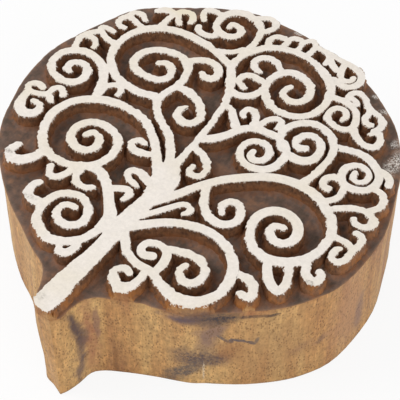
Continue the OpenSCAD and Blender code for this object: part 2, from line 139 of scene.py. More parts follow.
# sRGB hex to the linear colour that a socket takes
def hexColour(text):
    channels = [int(text[i:i + 2], 16) / 255 for i in (0, 2, 4)]
    return [c / 12.92 if c <= 0.04045 else ((c + 0.055) / 1.055) ** 2.4 for c in channels] + [1.0]


# adds one node with its settings and links, and gives back the output asked for
def add(tree, kind, inputs=None, out=0, **settings):
    node = tree.nodes.new(kind)
    for name, value in settings.items():
        setattr(node, name, value)
    for key, value in (inputs or {}).items():
        if isinstance(value, bpy.types.NodeSocket):
            tree.links.new(value, node.inputs[key])
        else:
            node.inputs[key].default_value = value
    return node.outputs[out]


def newMaterial(name):
    material = bpy.data.materials.new(name)
    material.use_nodes = True
    material.node_tree.nodes.clear()
    return material, material.node_tree


# texture scale for features that lie this many mm apart
def pitch(size):
    return 1 / (size * mm)


# camera where the photographer stood
shot = {
    "place": (126.37 * mm, -176.70 * mm, 275.78 * mm),
    "target": (-4.7 * mm, 14.0 * mm, 0.0),
    "lens": 118.26,  # mm on a 36 mm sensor
    "sensor": 36.0,
}

camera = bpy.data.objects.new("photoCamera", bpy.data.cameras.new("photoCamera"))
bpy.context.scene.collection.objects.link(camera)
camera.location = shot["place"]
camera.rotation_euler = (Vector(shot["target"]) - Vector(shot["place"])).to_track_quat("-Z", "Y").to_euler()
camera.data.lens = shot["lens"]
camera.data.sensor_width = shot["sensor"]
camera.data.clip_start = 0.01
bpy.context.scene.camera = camera
print("camera in place")


# the ridges left standing by the gouge
ridge = {
    "foot": 1.4 * mm,        # how far a ridge reaches below the level ground
    "flare": 0.6 * mm,       # how far its foot spreads
    "flareFrom": 2.7 * mm,   # height over the ground where the spread starts
    "crown": {0.0: 0.15 * mm, 0.08 * mm: 0.06 * mm, 0.3 * mm: 0.0},  # rounding inwards, by depth under the top
    "step": 0.45 * mm,       # longest level edge
    "stretch": 7 * mm,       # how often a ridge is cut across
    "wobble": 0.60 * mm,     # wander of the knife
    "wobbleLength": 1.9 * mm,
    "nick": 0.42 * mm,       # unevenness of its cut
    "nickLength": 0.65 * mm,
    "flush": 0.5 * mm,       # an end this near to the wall was sawn off with it
    "proud": 0.02 * mm,      # keeps a flush end from flickering with the wall
    "rings": [0.5 * mm, 1.2 * mm, 2.0 * mm, 2.6 * mm],
    "probe": 1.5 * mm,       # height over the ground where the room around a ridge is measured
    "reach": 1.6 * mm,       # the most room that is looked for
    "tight": 0.5 * mm,       # with less room than this the knife doesn't wander
    "roomy": 1.5 * mm,       # and with more than this it wanders in full
    "crease": 38,            # degrees between faces that keep a sharp edge
}

cadRelief = {node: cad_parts[node].data for node in reliefNodes}
reliefTree = sideTree(cadRelief.values())
wallTree = sideTree([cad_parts["block"].data])


# nearest place on the sawn wall, its outward direction and its distance
def wallNear(x, y):
    place, outward, _, gap = wallTree.find_nearest((x, y, groundZ - 0.2 * mm))
    return place, outward, gap


def noiseTexture(name, length, depth):
    texture = bpy.data.textures.new(name, "CLOUDS")
    texture.noise_scale = length
    texture.noise_depth = depth
    return texture


# a top face whose outline came to cross itself goes back to where it was drawn
def unfoldTops(mesh, drawn):
    mesh.calc_loop_triangles()
    spans = [0.0] * len(mesh.polygons)
    for triangle in mesh.loop_triangles:
        spans[triangle.polygon_index] += triangle.area
    for face, span in zip(mesh.polygons, spans):
        if face.normal.z > 0.9 and face.center.z > topZ - 0.01 * mm and span > face.area * 1.0005:
            for i in face.vertices:
                mesh.vertices[i].co = drawn[i]
    mesh.update()


wander = noiseTexture("knifeWander", ridge["wobbleLength"], 1)
nicks = noiseTexture("knifeNicks", ridge["nickLength"], 0)


def carveRidges(node, name):
    piece = carvingBlank(node, name)
    mesh = piece.data
    others = sideTree([m for n, m in cadRelief.items() if n != node])

    # long level edges get points in between, so that the knife's wander shows in them
    def isLongAndLevel(e):
        a, b = (mesh.vertices[i].co for i in e.vertices)
        return abs(a.z - b.z) < 1e-6 and (a - b).length > ridge["step"]

    for halving in range(3):
        editSelected(piece, "edges", isLongAndLevel)
        bpy.ops.mesh.subdivide(number_cuts=1)
        leaveEdit()
    rings = [groundZ + h for h in ridge["rings"]] + [topZ - depth for depth in ridge["crown"] if depth]
    cutAcross(piece, (0, 0, 1), rings)
    # short stretches keep the tops' faces simple
    low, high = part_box(node)
    for axis, start, end in (((1, 0, 0), low.x, high.x), ((0, 1, 0), low.y, high.y)):
        count = int((end - start) / ridge["stretch"])
        cutAcross(piece, axis, [start + (i + 0.5) * (end - start) / (count + 1) for i in range(count + 1)])

    # room outwards and inwards at each vertex; thin walls and narrow gaps stay as they were drawn
    loose = piece.vertex_groups.new(name="loose")
    rooms = []
    for v in mesh.vertices:
        side = Vector((v.normal.x, v.normal.y, 0)).normalized()
        start = Vector((v.co.x, v.co.y, groundZ + ridge["probe"]))
        hits = [reliefTree.ray_cast(start + way * side * 0.02 * mm, way * side, ridge["reach"])[3] for way in (1, -1)]
        rooms.append([ridge["reach"] if hit is None else hit for hit in hits])
        loose.add([v.index], smooth(ridge["tight"], ridge["roomy"], min(rooms[-1])), "REPLACE")

    # the top is rounded inwards, except where another group's ridge joins on
    drawn = [v.co.copy() for v in mesh.vertices]
    normals = [v.normal.copy() for v in mesh.vertices]
    for v, normal in zip(mesh.vertices, normals):
        inset = [size for depth, size in ridge["crown"].items() if abs(topZ - depth - v.co.z) < 1e-6]
        if inset and normal.xy.length > 0.2 and others.find_nearest(v.co, 0.05 * mm)[0] is None:
            side = normal.xy.normalized()
            shift = min(inset[0], 0.3 * rooms[v.index][1])
            v.co.x -= side.x * shift
            v.co.y -= side.y * shift
    editSelected(piece, "vertices", lambda v: v.co.z < groundZ + 1e-6)
    bpy.ops.transform.translate(value=(0, 0, -ridge["foot"]))
    leaveEdit()

    # the foot spreads into the ground, but never through the sawn wall
    normals = [v.normal.copy() for v in mesh.vertices]
    for v, normal in zip(mesh.vertices, normals):
        low = (groundZ + ridge["flareFrom"] - v.co.z) / ridge["flareFrom"]
        if low > 0 and normal.xy.length > 0.2:
            room = max(0.0, wallNear(v.co.x, v.co.y)[2] - 0.25 * mm)
            spread = min(ridge["flare"] * min(low, 1.2) ** 1.8, room, 0.4 * rooms[v.index][0])
            side = normal.xy.normalized()
            v.co.x += side.x * spread
            v.co.y += side.y * spread
    mesh.update()

    for axis in "XY":
        addModifier(piece, "DISPLACE", texture=wander, texture_coords="GLOBAL", direction=axis,
                    strength=ridge["wobble"], mid_level=0.5 if axis == "X" else 0.52, vertex_group="loose")
        addModifier(piece, "DISPLACE", texture=nicks, texture_coords="GLOBAL", direction=axis,
                    strength=ridge["nick"], mid_level=0.5, vertex_group="loose")
    applyModifiers(piece)

    # ends that the saw cut off are brought flush with the wall
    sawn, rimGaps = [], []
    normals = [v.normal.copy() for v in mesh.vertices]
    for v, normal in zip(mesh.vertices, normals):
        place, outward, gap = wallNear(v.co.x, v.co.y)
        rimGaps.append(gap / mm)
        isSawn = gap < ridge["flush"] and normal.dot(outward) > 0.3
        if isSawn:
            step = ridge["proud"] if v.co.z > groundZ - 0.1 * mm else -0.15 * mm
            v.co.x = place.x + outward.x * step
            v.co.y = place.y + outward.y * step
        sawn.append(float(isSawn))
    mesh.update()
    for attempt in range(3):  # a face put back can fold its neighbour
        unfoldTops(mesh, drawn)
    bpy.ops.object.shade_smooth_by_angle(angle=math.radians(ridge["crease"]))
    storeNumber(mesh, "sawn", sawn)
    storeNumber(mesh, "wallGap", rimGaps)
    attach(piece, "root")
    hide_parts(node)
    print("carved", name, len(mesh.polygons), "faces")
    return piece


ridges = [carveRidges(node, name) for node, name in reliefNodes.items()]


# the leaf-shaped block under them
block = {
    "cell": 0.5 * mm,         # grid of the carved ground
    "dig": 0.95 * mm,         # how much deeper the gouge goes between the ridges
    "digFrom": 0.25 * mm,     # where the gouge's fillet starts, from a ridge
    "digTo": 1.6 * mm,        # and where it is level
    "rimFrom": 0.6 * mm,      # the rim is left nearer to the level ground
    "rimTo": 7.0 * mm,
    "gouge": 0.24 * mm,       # unevenness that the gouge leaves
    "rimDrop": 0.30 * mm,     # wear of the upper edge
    "foot": 0.5 * mm,         # rounding at the back
    "saw": 0.30 * mm,         # waves that the saw left in the wall
    "sawLength": 11 * mm,
    "crease": 35,             # degrees between faces that keep a sharp edge
    "board": 45 * mm,         # thickness of the board that the blank is cut with
    "wallRings": [0.15, 0.5, 1.4, 3, 5, 7.5, 10, 12.5, 15, 17.5, 20, 22.5, 25, 27, 28.5, 29.6],  # heights in mm
}

body = carvingBlank("block", "stampBlock")
cutAcross(body, (0, 0, 1), [h * mm for h in block["wallRings"]])
for v in body.data.vertices:
    if v.co.z < block["foot"] - 1e-6:
        outward = wallTree.find_nearest(v.co)[1]
        inset = block["foot"] * (1 - math.sqrt(1 - (1 - v.co.z / block["foot"]) ** 2)) * 0.7
        v.co.x -= outward.x * inset
        v.co.y -= outward.y * inset

# the carved ground gets a fine grid: the blank is cut to the top of a finely divided board
low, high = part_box("block")
size = [high.x - low.x + 4 * mm, high.y - low.y + 4 * mm]
bpy.ops.object.select_all(action="DESELECT")
bpy.ops.mesh.primitive_grid_add(
    x_subdivisions=round(size[0] / block["cell"]), y_subdivisions=round(size[1] / block["cell"]), size=1,
    location=((low.x + high.x) / 2, (low.y + high.y) / 2, groundZ - 0.05 * mm))
board = bpy.context.object
board.scale = (size[0], size[1], 1)
bpy.ops.object.transform_apply(location=True, rotation=True, scale=True)
neighbours = {}
for face in board.data.polygons:
    for key in face.edge_keys:
        neighbours[key] = neighbours.get(key, 0) + 1
editSelected(board, "edges", lambda e: neighbours[tuple(sorted(e.vertices))] == 1)
bpy.ops.mesh.extrude_region_move(TRANSFORM_OT_translate={"value": (0, 0, -block["board"])})
bpy.ops.mesh.edge_face_add()
bpy.ops.mesh.select_all(action="SELECT")
bpy.ops.mesh.normals_make_consistent(inside=False)
leaveEdit()
addModifier(body, "BOOLEAN", operation="INTERSECT", solver="MANIFOLD", object=board)
applyModifiers(body)
bpy.data.objects.remove(board)
print("ground cut", len(body.data.polygons), "faces")

lineGaps, rimGaps = [], []
for v in body.data.vertices:
    x, y, z = v.co
    probe = Vector((x, y, groundZ + ridge["probe"]))
    nearest, outward, _, lineGap = reliefTree.find_nearest(probe)
    if (probe - nearest).dot(outward) < 0:  # under a ridge
        lineGap = 0.0
    rimGap = wallNear(x, y)[2]
    lineGaps.append(lineGap / mm)
    rimGaps.append(rimGap / mm)
    if z > groundZ - 0.06 * mm:
        inner = smooth(block["rimFrom"], block["rimTo"], rimGap)
        hollow = noise.noise(Vector((x, y, 0)) / (3.4 * mm))
        hollow += 0.5 * noise.noise(Vector((x, y, 0.01)) / (1.3 * mm))
        chip = 0.6 + 1.2 * max(0.0, noise.noise(Vector((x, y, 0.05)) / (2.2 * mm)))
        worn = 1 - smooth(0, 0.75 * mm, rimGap)
        isFree = smooth(0.15 * mm, 1.1 * mm, lineGap)
        depth = block["dig"] * (0.25 + 0.75 * inner) * smooth(block["digFrom"], block["digTo"], lineGap)
        depth += block["gouge"] * (0.5 + hollow) * smooth(0, 1.2 * mm, lineGap) * smooth(0, 1.5 * mm, rimGap)
        v.co.z = groundZ - 0.02 * mm - depth - block["rimDrop"] * chip * worn * isFree
body.data.update()

# saw waves only go inwards, so that the wall stays within the blank's size
wallGroup = body.vertex_groups.new(name="wall")
wallGroup.add([v.index for v in body.data.vertices if 1.0 * mm < v.co.z < groundZ - 2.0 * mm], 1.0, "REPLACE")
addModifier(body, "DISPLACE", texture=noiseTexture("sawWaves", block["sawLength"], 1), texture_coords="GLOBAL",
            direction="NORMAL", strength=block["saw"], mid_level=1.0, vertex_group="wall")
applyModifiers(body)
storeNumber(body.data, "lineGap", lineGaps)
storeNumber(body.data, "wallGap", rimGaps)
bpy.ops.object.shade_smooth_by_angle(angle=math.radians(block["crease"]))
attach(body, "root")
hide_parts("block")
print("block shaped", len(body.data.polygons), "faces")


# Marks that time left on the stamp. Each is a soft patch: centre and half sizes in mm, turns about X and Y in
# degrees, tint, strength, and how torn it is.
wallMarks = [
    ((42.0, -24.0, 14.0), (17.0, 14.0, 26.0), (0, 0), "9C7248", 0.45, 0.0),    # a duller stretch of the wall
    ((5.4, -46.8, 16.0), (3.4, 3.0, 24.0), (0, 0), "9A6245", 0.80, 0.0),     # reddish heartwood by the tip
    ((4.5, -49.8, 22.0), (2.9, 2.4, 13.0), (12, 0), "4C3A3C", 0.95, 0.0),    # dark streak in the hollow
    ((5.1, -49.6, 9.0), (2.9, 2.6, 13.0), (-8, 0), "564446", 0.90, 0.0),
    ((6.5, -45.3, 21.0), (0.9, 2.0, 9.0), (0, 0), "7D5A50", 0.60, 0.0),
    ((9.8, -43.3, 5.0), (0.9, 2.0, 9.0), (0, 0), "84592F", 0.70, 0.0),
    ((31.0, -34.2, 22.5), (3.6, 9.0, 10.0), (0, 12), "7C6056", 0.85, 0.0),   # haze below the lens
    ((38.8, -28.0, 30.4), (6.5, 9.0, 2.0), (0, 0), "9A6038", 0.80, 0.3),     # torn reddish wood over the crack
    ((26.4, -37.8, 29.2), (7.0, 9.0, 2.8), (0, -4), "5E4A50", 1.00, 0.0),    # purple-grey lens under the lobe
    ((29.0, -36.4, 30.2), (5.6, 9.0, 5.4), (0, 0), "5F463E", 1.00, 0.2),
    ((32.9, -32.8, 29.0), (5.4, 9.0, 4.2), (0, 0), "352A2C", 1.00, 0.3),
    ((35.8, -30.6, 29.2), (7.5, 7.0, 1.3), (0, 0), "33272A", 1.00, 0.6),     # torn dark crack that goes on from it
    ((39.4, -27.6, 29.0), (5.0, 5.0, 0.9), (0, 0), "5A3C28", 0.90, 0.4),
    ((42.4, -25.0, 28.9), (2.6, 4.0, 0.9), (0, -14), "4A3426", 0.95, 0.3),
    ((33.4, -32.1, 20.2), (0.5, 6.0, 2.9), (0, -33), "5E5250", 0.90, 0.3),   # jagged grey crack
    ((34.9, -31.0, 19.6), (0.6, 6.0, 1.5), (0, 14), "564C4F", 0.90, 0.2),
    ((36.2, -30.0, 19.6), (1.9, 6.0, 0.65), (0, 36), "564C4F", 0.95, 0.2),
    ((38.2, -28.3, 18.2), (1.9, 6.0, 0.75), (0, 30), "504649", 0.95, 0.2),
    ((39.6, -27.3, 19.0), (0.5, 6.0, 2.0), (0, 14), "6A5A50", 0.80, 0.2),
    ((27.8, -36.0, 12.4), (8.0, 9.0, 6.5), (0, 0), "54413F", 1.00, 0.4),     # smudges in the middle of the wall
    ((31.8, -33.8, 11.4), (5.6, 9.0, 4.4), (0, -15), "54413F", 0.95, 0.4),
    ((34.0, -32.0, 15.0), (4.5, 9.0, 6.0), (0, 0), "94613A", 0.70, 0.2),
    ((25.2, -36.6, 5.4), (3.4, 12.0, 12.0), (0, 36), "5A4E48", 1.00, 0.4),
    ((29.5, -34.3, 6.4), (0.3, 7.0, 5.4), (0, 2), "D6C3A6", 0.80, 0.4),      # pale scratch
    ((46.8, -18.5, 12.5), (2.0, 6.0, 4.0), (0, 20), "8A6447", 0.60, 0.2),
    ((50.2, -14.5, 13.5), (1.6, 6.0, 3.4), (0, 30), "77594A", 0.70, 0.2),
    ((52.0, -6.0, 17.0), (8.0, 9.0, 30.0), (0, 0), "AC7D5C", 0.60, 0.0),     # pinker towards the right
    ((53.1, -0.8, 11.0), (3.0, 3.0, 12.0), (0, 0), "82645A", 0.70, 0.0),
    ((-12.0, -46.5, 17.0), (1.8, 3.0, 26.0), (0, 0), "95633E", 0.70, 0.0),   # reddish streaks left of the tip
    ((-17.5, -43.0, 17.0), (1.4, 3.0, 28.0), (0, 0), "865C3E", 0.70, 0.0),
]
coatMarks = [
    ((-22.7, -32.2, 34.6), (2.2, 1.1, 2.0), (0, 0), "8E857B", 0.75, 0.8),    # rubbed places
    ((-36.5, -23.7, 34.6), (1.4, 0.8, 2.0), (0, 0), "8E857B", 0.70, 0.8),
    ((46.4, -16.1, 34.6), (1.5, 0.9, 2.0), (0, 0), "8E857B", 0.75, 0.8),
    ((-1.6, -53.6, 34.6), (1.6, 1.4, 2.0), (0, 0), "A39C90", 0.60, 0.8),
    ((-29.0, 43.0, 34.6), (9.0, 5.0, 3.0), (0, 0), "E6DAC0", 0.80, 0.0),     # creamier at the far left
]
groundMarks = [
    ((43.6, 30.0, 31.0), (2.6, 9.0, 4.0), (0, 0), "E2DCD4", 1.00, 1.0),      # chalk rubbed on the right rim
    ((40.2, 35.6, 31.0), (1.6, 3.0, 4.0), (0, 0), "E2DCD4", 1.00, 1.0),
    ((32.9, 43.7, 31.0), (2.0, 1.2, 4.0), (0, 0), "E2DCD4", 1.00, 1.0),
    ((28.0, 46.9, 31.0), (1.6, 1.0, 4.0), (0, 0), "E2DCD4", 1.00, 0.9),
    ((-1.3, 56.0, 31.0), (1.8, 0.8, 4.0), (0, 0), "E2DCD4", 0.80, 0.9),
]


bend = {
    "length": 4.5,             # mm between the waves that a mark is bent by
    "least": 2.0,              # mm of swing that every mark has
    "share": (1.8, 1.8, 1.0),  # swing for each mm of its half size
    "most": (9, 9, 7),
    "straight": 0.5,           # a mark that is narrower than this isn't bent
}


# Lays marks over a colour. torn is a noise of the grit's size in mm, which breaks up the torn ones.
def paintMarks(tree, colour, marks, place, grit):
    sway = add(tree, "ShaderNodeTexNoise", {
        "Vector": place, "Scale": pitch(bend["length"]), "Detail": 4.0, "Roughness": 0.6}, out=1)
    centred = add(tree, "ShaderNodeVectorMath", {0: sway, 1: (0.5, 0.5, 0.5)}, operation="SUBTRACT")
    torn = add(tree, "ShaderNodeTexNoise", {
        "Vector": place, "Scale": pitch(grit), "Detail": 4.0, "Roughness": 0.75})
    for centre, half, turns, tint, strength, tear in marks:
        swing = [min(max(bend["least"], share * h), most) * mm
                 for h, share, most in zip(half, bend["share"], bend["most"])]
        bent = add(tree, "ShaderNodeVectorMath", {0: centred, 1: swing, 2: place}, operation="MULTIPLY_ADD")
        local = add(tree, "ShaderNodeMapping", {
            "Vector": bent if half[0] > bend["straight"] else place,
            "Location": [c * mm for c in centre],
            "Rotation": [math.radians(turns[0]), math.radians(turns[1]), 0],
            "Scale": [h * mm for h in half]}, vector_type="TEXTURE")
        patch = add(tree, "ShaderNodeTexGradient", {"Vector": local}, gradient_type="SPHERICAL")
        patch = add(tree, "ShaderNodeMapRange", {
            "Value": patch, "From Max": 0.5 if min(half) < 1 else 0.8, "To Max": strength},
            interpolation_type="SMOOTHSTEP")
        holes = add(tree, "ShaderNodeMapRange", {
            "Value": torn, "From Min": 0.46, "From Max": 0.56, "To Min": 1 - tear})
        patch = add(tree, "ShaderNodeMath", {0: patch, 1: holes}, operation="MULTIPLY")
        colour = add(tree, "ShaderNodeMix", {0: patch, 6: colour, 7: hexColour(tint)}, out=2, data_type="RGBA")
    return colour


# Sheesham (Indian rosewood) off the saw, rubbed with oil: golden tan with reddish streaks that run up the wall,
# mottled, full of open dark pores. Sizes are mm from one to the next.
sawnLook = {
    "bands": 13, "bandColours": {0.36: "9B6842", 0.48: "BE8D56", 0.62: "CFA56A"},
    "mottle": 1.7,
    "fibres": 0.65,
    "scratches": 0.6, "scratchSlopes": (40, -38),   # fine, and slanting, left by the rasp
    "drifts": 4,                                    # pores, the stain and the darker bottom edge lie in drifts
    "pores": 0.56, "poreColour": "6B4824",          # 0.25 mm wide, and longer up the wall
    "edgeStain": "8A5228", "edgeStainDepth": 1.6 * mm,
    # the wall is darker towards its bottom edge, up to this height
    "bottomEdgeDark": "5F4430", "bottomEdgeDarkHeight": 1.0 * mm,
    "rough": 0.6, "gloss": 0.35,
}


# a colour ramp with its stops given as place: colour
def rampOver(tree, value, colours):
    ramp = add(tree, "ShaderNodeValToRGB", {0: value})
    stops = ramp.node.color_ramp.elements
    (first, firstColour), *between, (last, lastColour) = colours.items()
    stops[0].position, stops[0].color = first, hexColour(firstColour)
    stops[1].position, stops[1].color = last, hexColour(lastColour)
    for place, colour in between:
        stops.new(place).color = hexColour(colour)
    return ramp


# gives back the sawn wood's colour and the height for its bump
def sawnWood(tree, marks):
    look = sawnLook
    place = add(tree, "ShaderNodeTexCoord", out=3)
    upright = add(tree, "ShaderNodeMapping", {"Vector": place, "Scale": (1, 1, 0.12)})
    bands = add(tree, "ShaderNodeTexNoise", {
        "Vector": upright, "Scale": pitch(look["bands"]), "Detail": 5.0, "Roughness": 0.6})
    ramp = rampOver(tree, bands, look["bandColours"])
    mottle = add(tree, "ShaderNodeTexNoise", {
        "Vector": place, "Scale": pitch(look["mottle"]), "Detail": 4.0, "Roughness": 0.65})
    mottleShade = add(tree, "ShaderNodeMapRange", {
        "Value": mottle, "From Min": 0.3, "From Max": 0.7, "To Min": 0.74, "To Max": 1.16})
    fibre = add(tree, "ShaderNodeTexNoise", {
        "Vector": add(tree, "ShaderNodeMapping", {"Vector": place, "Scale": (1, 1, 0.25)}),
        "Scale": pitch(look["fibres"]), "Detail": 3.0, "Roughness": 0.6})
    fibreShade = add(tree, "ShaderNodeMapRange", {
        "Value": fibre, "From Min": 0.3, "From Max": 0.7, "To Min": 0.84, "To Max": 1.13})
    shade = add(tree, "ShaderNodeMath", {0: mottleShade, 1: fibreShade}, operation="MULTIPLY")
    for slope in look["scratchSlopes"]:
        scratch = add(tree, "ShaderNodeTexNoise", {
            "Vector": add(tree, "ShaderNodeMapping", {
                "Vector": place, "Rotation": (0, math.radians(slope), 0), "Scale": (1, 1, 0.1)}),
            "Scale": pitch(look["scratches"]), "Detail": 2.0})
        glint = add(tree, "ShaderNodeMapRange", {
            "Value": scratch, "From Min": 0.5, "From Max": 0.7, "To Min": 0.97, "To Max": 1.14})
        shade = add(tree, "ShaderNodeMath", {0: shade, 1: glint}, operation="MULTIPLY")
    colour = add(tree, "ShaderNodeMix", {0: 1.0, 6: ramp, 7: shade}, out=2, data_type="RGBA", blend_type="MULTIPLY")

    # the stain ran over the upper edge, and the wall is darker towards its bottom edge
    height = add(tree, "ShaderNodeSeparateXYZ", {0: place}, out=2)
    drift = add(tree, "ShaderNodeTexNoise", {"Vector": place, "Scale": pitch(look["drifts"]), "Detail": 4.0})
    drifting = add(tree, "ShaderNodeMapRange", {
        "Value": drift, "From Min": 0.36, "From Max": 0.60, "To Min": 0.1, "To Max": 0.85})
    edges = (
        (groundZ - look["edgeStainDepth"], groundZ, look["edgeStain"], 0.75),
        (look["bottomEdgeDarkHeight"], 0.0, look["bottomEdgeDark"], 0.9),
    )
    for start, end, tint, share in edges:
        reach = add(tree, "ShaderNodeMapRange", {"Value": height, "From Min": start, "From Max": end, "To Max": share})
        uneven = add(tree, "ShaderNodeMath", {0: reach, 1: drifting}, operation="MULTIPLY")
        colour = add(tree, "ShaderNodeMix", {0: uneven, 6: colour, 7: hexColour(tint)}, out=2, data_type="RGBA")
    colour = paintMarks(tree, colour, marks, place, 0.9)

    pores = add(tree, "ShaderNodeTexVoronoi", {
        "Vector": add(tree, "ShaderNodeMapping", {"Vector": place, "Scale": (1, 1, 0.5)}),
        "Scale": pitch(look["pores"]), "Randomness": 1.0}, feature="F1")
    hole = add(tree, "ShaderNodeMapRange", {
        "Value": pores, "From Min": 0.14, "From Max": 0.46, "To Min": 1.0, "To Max": 0.0})
    holeShare = add(tree, "ShaderNodeMath", {0: drifting, 1: 0.75, 2: 0.18}, operation="MULTIPLY_ADD")
    hole = add(tree, "ShaderNodeMath", {0: hole, 1: holeShare}, operation="MULTIPLY")
    colour = add(tree, "ShaderNodeMix", {
        0: hole, 6: colour, 7: hexColour(look["poreColour"])}, out=2, data_type="RGBA")
    relief = add(tree, "ShaderNodeMath", {0: fibre, 1: hole}, operation="SUBTRACT")
    return colour, relief


def finish(tree, colour, rough, gloss, bumpHeight, strength):
    bump = add(tree, "ShaderNodeBump", {"Strength": strength, "Distance": 0.2 * mm, "Height": bumpHeight})
    shader = add(tree, "ShaderNodeBsdfPrincipled", {
        "Base Color": colour, "Roughness": rough, "Specular IOR Level": gloss, "Normal": bump})
    tree.links.new(shader, tree.nodes.new("ShaderNodeOutputMaterial").inputs[0])


sheesham, tree = newMaterial("sawnOiledSheesham")
colour, relief = sawnWood(tree, wallMarks)
finish(tree, colour, sawnLook["rough"], sawnLook["gloss"], relief, 0.4)

# The same wood carved with gouges and stained dark: brown-grey floor, orange-brown on the gouge's fillet at the
# ridges' feet (partly fresh wood, partly a painted highlight), and a rim that is partly worn and partly a painted
# highlight. Sizes are mm from one to the next.
gougedLook = {
    "patches": 3.6, "patchColours": {0.36: "524439", 0.5: "665247", 0.66: "86644E"},
    "grain": 0.9, "grainTurn": 25,
    # the fillet's orange-brown is partly fresh wood and partly a painted highlight
    "blotches": 1.7, "filletHighlightAndFreshWood": "7F4F2E",
    # the paler rim is partly wear and partly a painted highlight
    "rimWearAndHighlight": "A07A5A",
    "rough": 0.6, "gloss": 0.25,
}

stained, tree = newMaterial("gougedStainedSheesham")
place = add(tree, "ShaderNodeTexCoord", out=3)
gap = add(tree, "ShaderNodeAttribute", out=2, attribute_name="lineGap")
patches = add(tree, "ShaderNodeTexNoise", {
    "Vector": place, "Scale": pitch(gougedLook["patches"]), "Detail": 6.0, "Roughness": 0.65})
grain = add(tree, "ShaderNodeTexNoise", {
    "Vector": add(tree, "ShaderNodeMapping", {
        "Vector": place, "Rotation": (0, 0, math.radians(gougedLook["grainTurn"])), "Scale": (1, 0.12, 1)}),
    "Scale": pitch(gougedLook["grain"]), "Detail": 3.0, "Roughness": 0.6})
grainShade = add(tree, "ShaderNodeMapRange", {
    "Value": grain, "From Min": 0.3, "From Max": 0.7, "To Min": 0.86, "To Max": 1.14})
ramp = rampOver(tree, patches, gougedLook["patchColours"])
blotches = add(tree, "ShaderNodeTexNoise", {
    "Vector": place, "Scale": pitch(gougedLook["blotches"]), "Detail": 4.0, "Roughness": 0.7})
reach = add(tree, "ShaderNodeMath", {0: blotches, 1: 5.0, 2: gap}, operation="MULTIPLY_ADD")
# painted highlight and fresh wood: orange-brown on the fillet near each ridge's foot
filletHighlightAndFreshWood = add(tree, "ShaderNodeMapRange", {
    "Value": reach, "From Min": 2.3, "From Max": 4.2, "To Min": 0.85, "To Max": 0.0})
carved = add(tree, "ShaderNodeMix", {0: filletHighlightAndFreshWood, 6: ramp, 7: hexColour(gougedLook["filletHighlightAndFreshWood"])}, out=2, data_type="RGBA")
carved = add(tree, "ShaderNodeMix", {
    0: 1.0, 6: carved, 7: grainShade}, out=2, data_type="RGBA", blend_type="MULTIPLY")
carved = paintMarks(tree, carved, groundMarks, place, 0.4)
rim = add(tree, "ShaderNodeAttribute", out=2, attribute_name="wallGap")
# painted highlight and wear: a paler line along the rim
rimWearAndHighlight = add(tree, "ShaderNodeMapRange", {
    "Value": rim, "From Min": 0.0, "From Max": 0.4, "To Min": 0.55, "To Max": 0.0})
carved = add(tree, "ShaderNodeMix", {
    0: rimWearAndHighlight, 6: carved, 7: hexColour(gougedLook["rimWearAndHighlight"])}, out=2, data_type="RGBA")
finish(tree, carved, gougedLook["rough"], gougedLook["gloss"], patches, 0.6)

# Ridges: stained walls under a coat of chalk paint that ran down a little in hairs about 0.3 mm wide. The stain is
# thin near the wall, where fresh wood shows through, and the foot is lighter orange-brown: partly fresh wood, partly a
# painted highlight. Sizes are mm from one to the next.
chalkLook = {
    "hairs": 0.36, "hairLength": 0.9 * mm,
    "coatDepth": 0.03 * mm,                       # how far down the coat reaches everywhere
    "white": "EDE5DC", "cream": "E9DFCF", "creamPatches": 14, "specks": 0.9,
    "streaks": 1.1, "sideDark": "4E382B", "sidePale": "8A6144",
    # the colour at a ridge's foot is partly fresh wood and partly a painted highlight where the flared foot catches
    # light
    "scrapes": 2.6, "footHighlightAndFreshWood": "96613B", "thinStain": "A0652F",
    "coatRough": 0.9, "sideRough": 0.55, "gloss": 0.25,
}

chalk, tree = newMaterial("chalkedCarvedSheesham")
place = add(tree, "ShaderNodeTexCoord", out=3)
height = add(tree, "ShaderNodeSeparateXYZ", {0: place}, out=2)
hairs = add(tree, "ShaderNodeTexNoise", {
    "Vector": add(tree, "ShaderNodeMapping", {"Vector": place, "Scale": (1, 1, 0.08)}),
    "Scale": pitch(chalkLook["hairs"]), "Detail": 2.0, "Roughness": 0.8})
hairDrop = add(tree, "ShaderNodeMapRange", {
    "Value": hairs, "From Min": 0.47, "From Max": 0.76, "To Min": 0.0, "To Max": chalkLook["hairLength"]})
coatLine = add(tree, "ShaderNodeMath", {0: topZ - chalkLook["coatDepth"], 1: hairDrop}, operation="SUBTRACT")
above = add(tree, "ShaderNodeMath", {0: height, 1: coatLine}, operation="SUBTRACT")
coat = add(tree, "ShaderNodeMapRange", {"Value": above, "From Min": -0.06 * mm, "From Max": 0.02 * mm})
speck = add(tree, "ShaderNodeTexNoise", {
    "Vector": place, "Scale": pitch(chalkLook["specks"]), "Detail": 4.0, "Roughness": 0.7})
cream = add(tree, "ShaderNodeTexNoise", {"Vector": place, "Scale": pitch(chalkLook["creamPatches"]), "Detail": 3.0})
creamShare = add(tree, "ShaderNodeMapRange", {"Value": cream, "From Min": 0.4, "From Max": 0.7})
white = add(tree, "ShaderNodeMix", {
    0: creamShare, 6: hexColour(chalkLook["white"]), 7: hexColour(chalkLook["cream"])}, out=2, data_type="RGBA")
speckShade = add(tree, "ShaderNodeMapRange", {
    "Value": speck, "From Min": 0.3, "From Max": 0.7, "To Min": 0.90, "To Max": 1.05})
coatColour = add(tree, "ShaderNodeMix", {
    0: 1.0, 6: white, 7: speckShade}, out=2, data_type="RGBA", blend_type="MULTIPLY")
coatColour = paintMarks(tree, coatColour, coatMarks, place, 0.6)
streaks = add(tree, "ShaderNodeTexNoise", {
    "Vector": add(tree, "ShaderNodeMapping", {"Vector": place, "Scale": (1, 1, 0.8)}),
    "Scale": pitch(chalkLook["streaks"]), "Detail": 4.0, "Roughness": 0.75})
